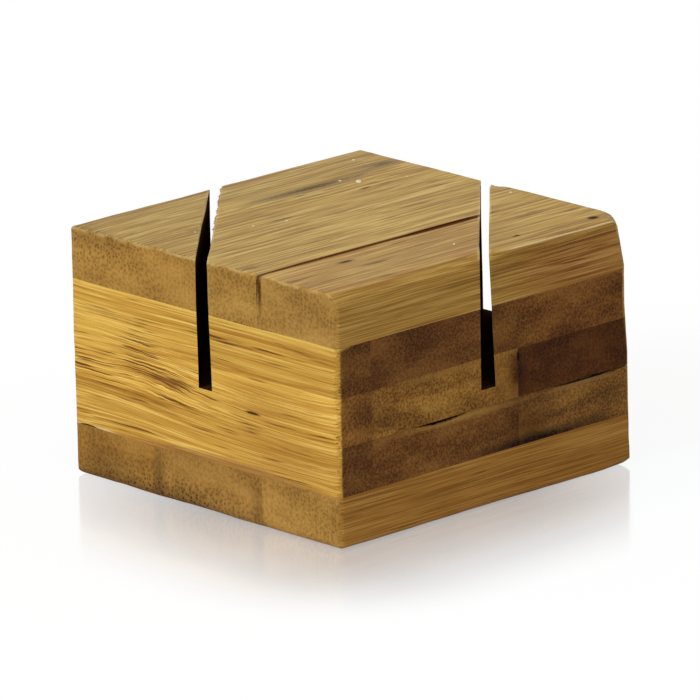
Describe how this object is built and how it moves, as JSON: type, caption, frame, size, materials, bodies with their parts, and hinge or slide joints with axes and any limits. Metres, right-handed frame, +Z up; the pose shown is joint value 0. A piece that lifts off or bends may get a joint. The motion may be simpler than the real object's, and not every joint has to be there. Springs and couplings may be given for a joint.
{
  "type": "photo block holder",
  "caption": "Free-standing block of cross-laminated bamboo strips with saw slots across its top corners, each holding the lower edge of a photo or card.",
  "frame": {"origin": "middle of the underside, on the surface that the block stands on", "axes": "+Z up; the slots run along X to within one degree, so photos in them face -Y, the front; the block's sides are at 45 degrees to X and Y, with a corner at the front"},
  "size_m": [0.0856, 0.0856, 0.04],
  "materials": {
    "face_strip_bamboo": "sanded and lightly oiled",
    "core_strip_bamboo": "sanded and lightly oiled"
  },
  "bodies": {
    "root": {"top_strip_front_left": "face_strip_bamboo", "front_cheek_top_strip_front_left": "face_strip_bamboo", "top_strip_middle": "face_strip_bamboo", "back_cheek_top_strip_middle": "face_strip_bamboo", "front_cheek_top_strip_middle": "face_strip_bamboo", "top_strip_back_right": "face_strip_bamboo", "back_cheek_top_strip_back_right": "face_strip_bamboo", "bottom_strip_front_left": "face_strip_bamboo", "bottom_strip_middle": "face_strip_bamboo", "bottom_strip_back_right": "face_strip_bamboo", "upper_core_strip_back_left": "core_strip_bamboo", "back_cheek_upper_core_strip_back_left": "core_strip_bamboo", "upper_core_strip_middle": "core_strip_bamboo", "back_cheek_upper_core_strip_middle": "core_strip_bamboo", "front_cheek_upper_core_strip_middle": "core_strip_bamboo", "upper_core_strip_front_right": "core_strip_bamboo", "front_cheek_upper_core_strip_front_right": "core_strip_bamboo", "middle_core_strip_back_left": "core_strip_bamboo", "middle_core_strip_middle": "core_strip_bamboo", "middle_core_strip_front_right": "core_strip_bamboo", "lower_core_strip_back_left": "core_strip_bamboo", "lower_core_strip_middle": "core_strip_bamboo", "lower_core_strip_front_right": "core_strip_bamboo"}
  },
  "joints": []
}
